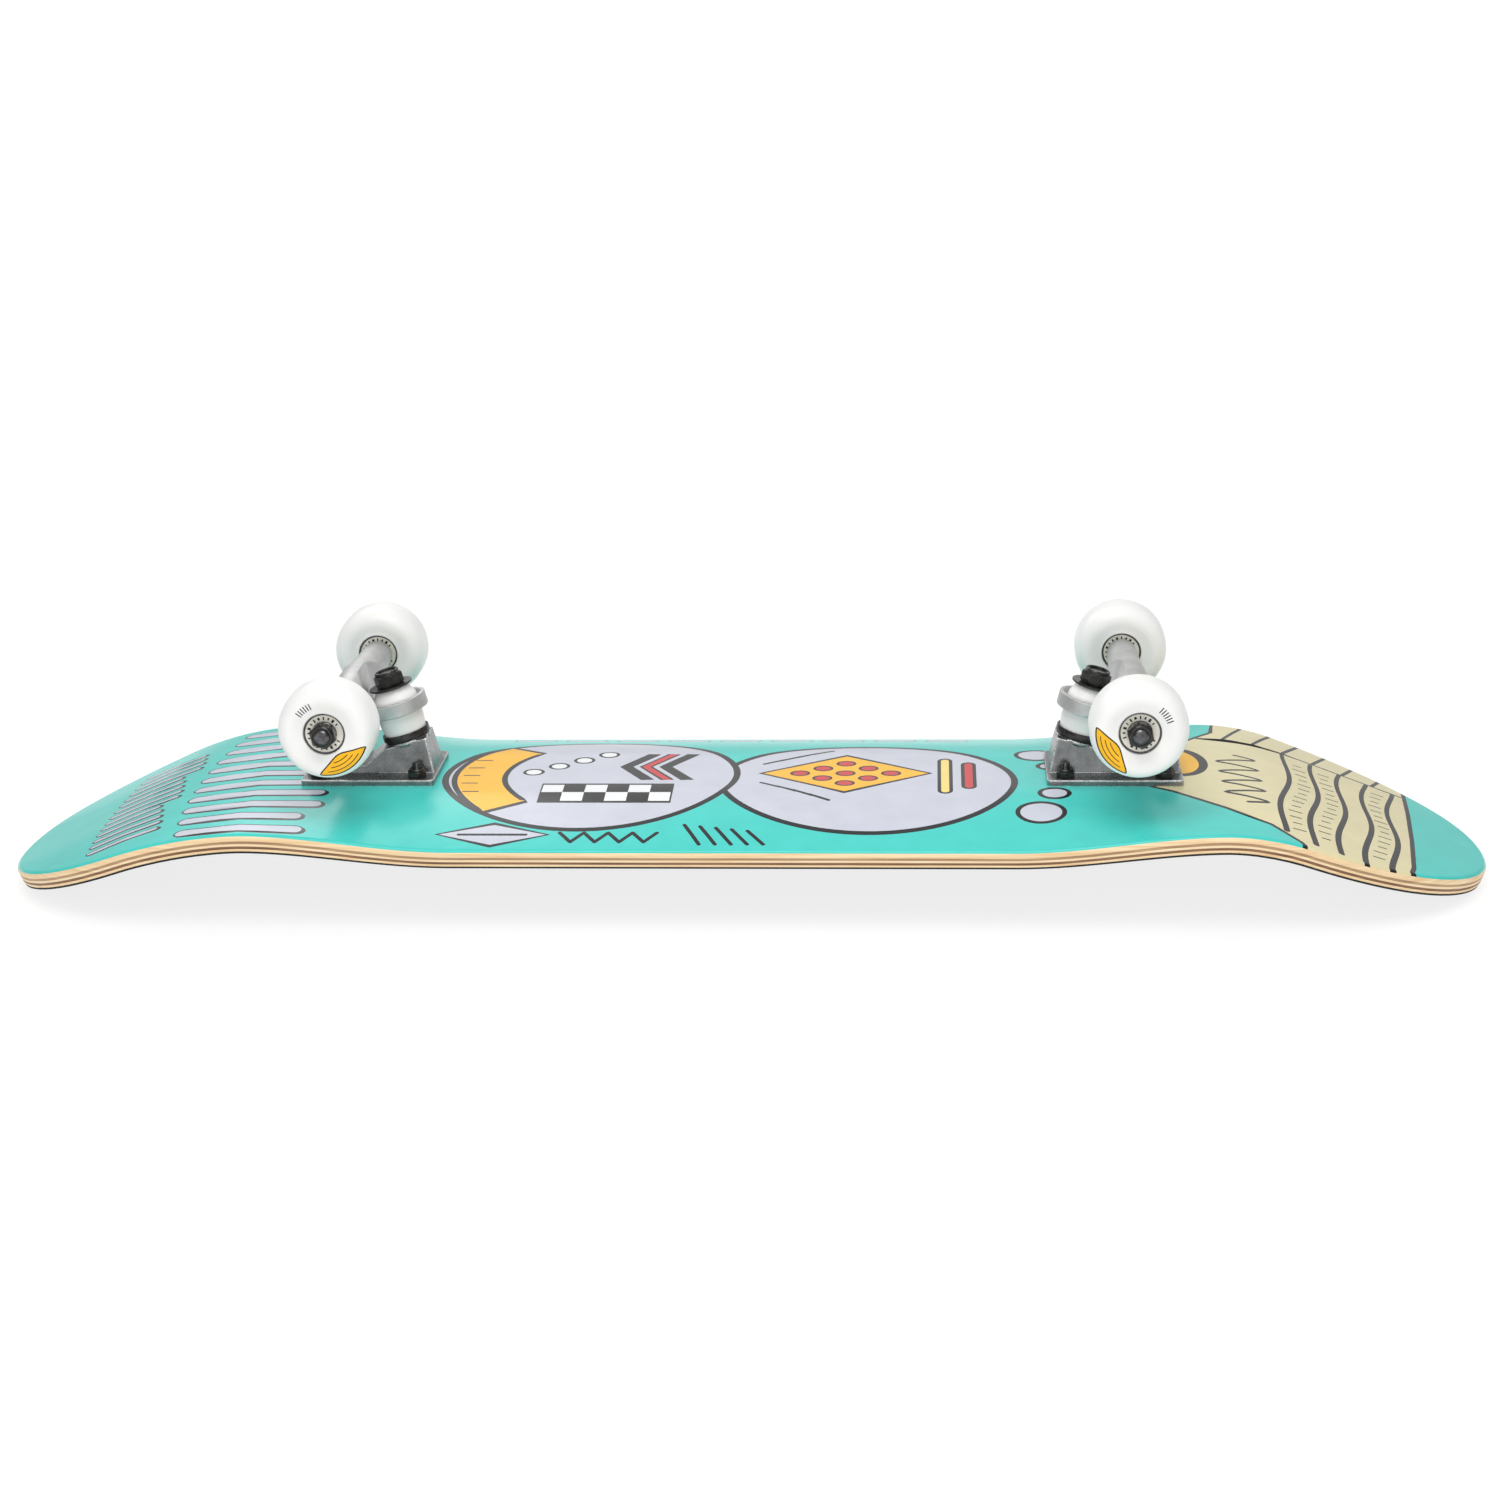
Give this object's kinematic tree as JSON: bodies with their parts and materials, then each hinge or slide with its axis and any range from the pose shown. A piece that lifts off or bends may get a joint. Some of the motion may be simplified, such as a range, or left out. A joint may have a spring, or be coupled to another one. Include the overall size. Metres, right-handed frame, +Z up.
{
  "type": "skateboard",
  "caption": "Double-kick street skateboard lying wheels up: laminated deck with grip tape, cast trucks with bushings, and urethane wheels on ball bearings.",
  "frame": {"origin": "on the floor under the middle of the board, which lies upside down on its nose and tail", "axes": "+X along the board from nose to tail, +Y to the rider's left, +Z up from the grip side to the wheels"},
  "size_m": [0.8191, 0.2046, 0.1339],
  "materials": {
    "printed_maple": "gloss printed film over maple plies",
    "grip_tape": "gritty",
    "cast_aluminium": "satin, as cast and tumbled",
    "zinc_steel": "zinc plated",
    "black_steel": "black oxide",
    "white_urethane": "satin",
    "bushing_urethane": "satin",
    "pivot_cup_nylon": "matte",
    "bearing_shield": "cream enamel on the shields"
  },
  "bodies": {
    "board": {"deck": "printed_maple", "grip_tape": "grip_tape", "front_baseplate": "cast_aluminium", "front_pivot_cup": "pivot_cup_nylon", "front_kingpin": "zinc_steel", "front_kingpin_nut": "black_steel", "front_top_washer": "black_steel", "front_bottom_washer": "black_steel", "front_top_bushing": "bushing_urethane", "front_bottom_bushing": "bushing_urethane", "front_bolt_1": "black_steel", "front_bolt_2": "black_steel", "front_bolt_3": "black_steel", "front_bolt_4": "black_steel", "front_bolt_nut_1": "black_steel", "front_bolt_nut_2": "black_steel", "front_bolt_nut_3": "black_steel", "front_bolt_nut_4": "black_steel", "rear_baseplate": "cast_aluminium", "rear_pivot_cup": "pivot_cup_nylon", "rear_kingpin": "zinc_steel", "rear_kingpin_nut": "black_steel", "rear_top_washer": "black_steel", "rear_bottom_washer": "black_steel", "rear_top_bushing": "bushing_urethane", "rear_bottom_bushing": "bushing_urethane", "rear_bolt_1": "black_steel", "rear_bolt_2": "black_steel", "rear_bolt_3": "black_steel", "rear_bolt_4": "black_steel", "rear_bolt_nut_1": "black_steel", "rear_bolt_nut_2": "black_steel", "rear_bolt_nut_3": "black_steel", "rear_bolt_nut_4": "black_steel"},
    "front_hanger_body": {"front_hanger": "cast_aluminium", "front_axle": "zinc_steel", "front_right_race_stack": "zinc_steel", "front_right_axle_nut": "black_steel", "front_left_race_stack": "zinc_steel", "front_left_axle_nut": "black_steel"},
    "front_right_wheel_body": {"front_right_wheel": "white_urethane", "front_right_outer_bearing": "bearing_shield", "front_right_inner_bearing": "bearing_shield"},
    "front_left_wheel_body": {"front_left_wheel": "white_urethane", "front_left_outer_bearing": "bearing_shield", "front_left_inner_bearing": "bearing_shield"},
    "rear_hanger_body": {"rear_hanger": "cast_aluminium", "rear_axle": "zinc_steel", "rear_right_race_stack": "zinc_steel", "rear_right_axle_nut": "black_steel", "rear_left_race_stack": "zinc_steel", "rear_left_axle_nut": "black_steel"},
    "rear_right_wheel_body": {"rear_right_wheel": "white_urethane", "rear_right_outer_bearing": "bearing_shield", "rear_right_inner_bearing": "bearing_shield"},
    "rear_left_wheel_body": {"rear_left_wheel": "white_urethane", "rear_left_outer_bearing": "bearing_shield", "rear_left_inner_bearing": "bearing_shield"}
  },
  "joints": [
    {"name": "front_steer", "type": "hinge", "parent": "board", "child": "front_hanger_body", "pos_m": [-0.2273, 0, 0.07192], "axis": [0.8188, 0, 0.5741], "range_deg": [-12, 12], "stiffness_Nm_per_rad": 20, "deforming": ["front_bottom_bushing", "front_top_bushing"]},
    {"name": "rear_steer", "type": "hinge", "parent": "board", "child": "rear_hanger_body", "pos_m": [0.2273, 0, 0.07192], "axis": [-0.8188, 0, 0.5741], "range_deg": [-12, 12], "stiffness_Nm_per_rad": 20, "deforming": ["rear_bottom_bushing", "rear_top_bushing"]},
    {"name": "front_right_spin", "type": "hinge", "parent": "front_hanger_body", "child": "front_right_wheel_body", "pos_m": [-0.2133, -0.08, 0.10786], "axis": [0, 1, 0], "continuous": true},
    {"name": "front_left_spin", "type": "hinge", "parent": "front_hanger_body", "child": "front_left_wheel_body", "pos_m": [-0.2133, 0.08, 0.10786], "axis": [0, 1, 0], "continuous": true},
    {"name": "rear_right_spin", "type": "hinge", "parent": "rear_hanger_body", "child": "rear_right_wheel_body", "pos_m": [0.2133, -0.08, 0.10786], "axis": [0, 1, 0], "continuous": true},
    {"name": "rear_left_spin", "type": "hinge", "parent": "rear_hanger_body", "child": "rear_left_wheel_body", "pos_m": [0.2133, 0.08, 0.10786], "axis": [0, 1, 0], "continuous": true}
  ]
}
